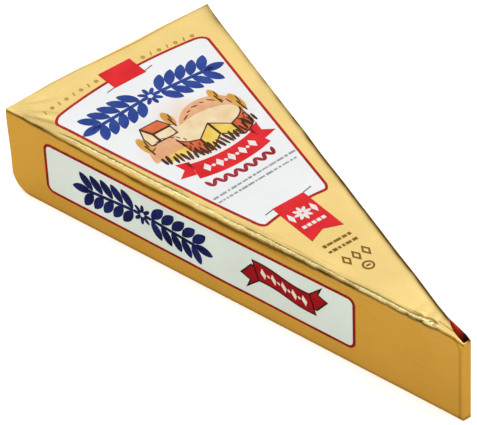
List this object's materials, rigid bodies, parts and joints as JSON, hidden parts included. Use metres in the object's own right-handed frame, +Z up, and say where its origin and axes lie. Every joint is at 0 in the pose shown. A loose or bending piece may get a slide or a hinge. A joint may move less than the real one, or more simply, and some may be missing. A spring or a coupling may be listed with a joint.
{
  "type": "foil-wrapped cheese wedge",
  "caption": "Long flat wedge of soft white-rind cheese in a gold foil wrapper with printed panels, shut and lying on its base.",
  "frame": {"origin": "middle of the pack's bounding box, on the flat base", "axes": "+X from the rounded rind side to the point, +Z up, the wide printed face on top; the side that the picture shows faces -Y"},
  "size_m": [0.1668, 0.0756, 0.0298],
  "materials": {
    "gold_foil": "gold-lacquered foil over paper, satin, with soft folds",
    "white_ink": "white printed panel, smooth",
    "red_ink": "red printed ribbons and panel borders, smooth",
    "blue_ink": "blue printed ornament, smooth",
    "brown_ink": "brown printed marks, smooth",
    "ochre_ink": "warm printed tints of the picture, smooth"
  },
  "bodies": {
    "root": {"foil_pack": "gold_foil"}
  },
  "joints": []
}
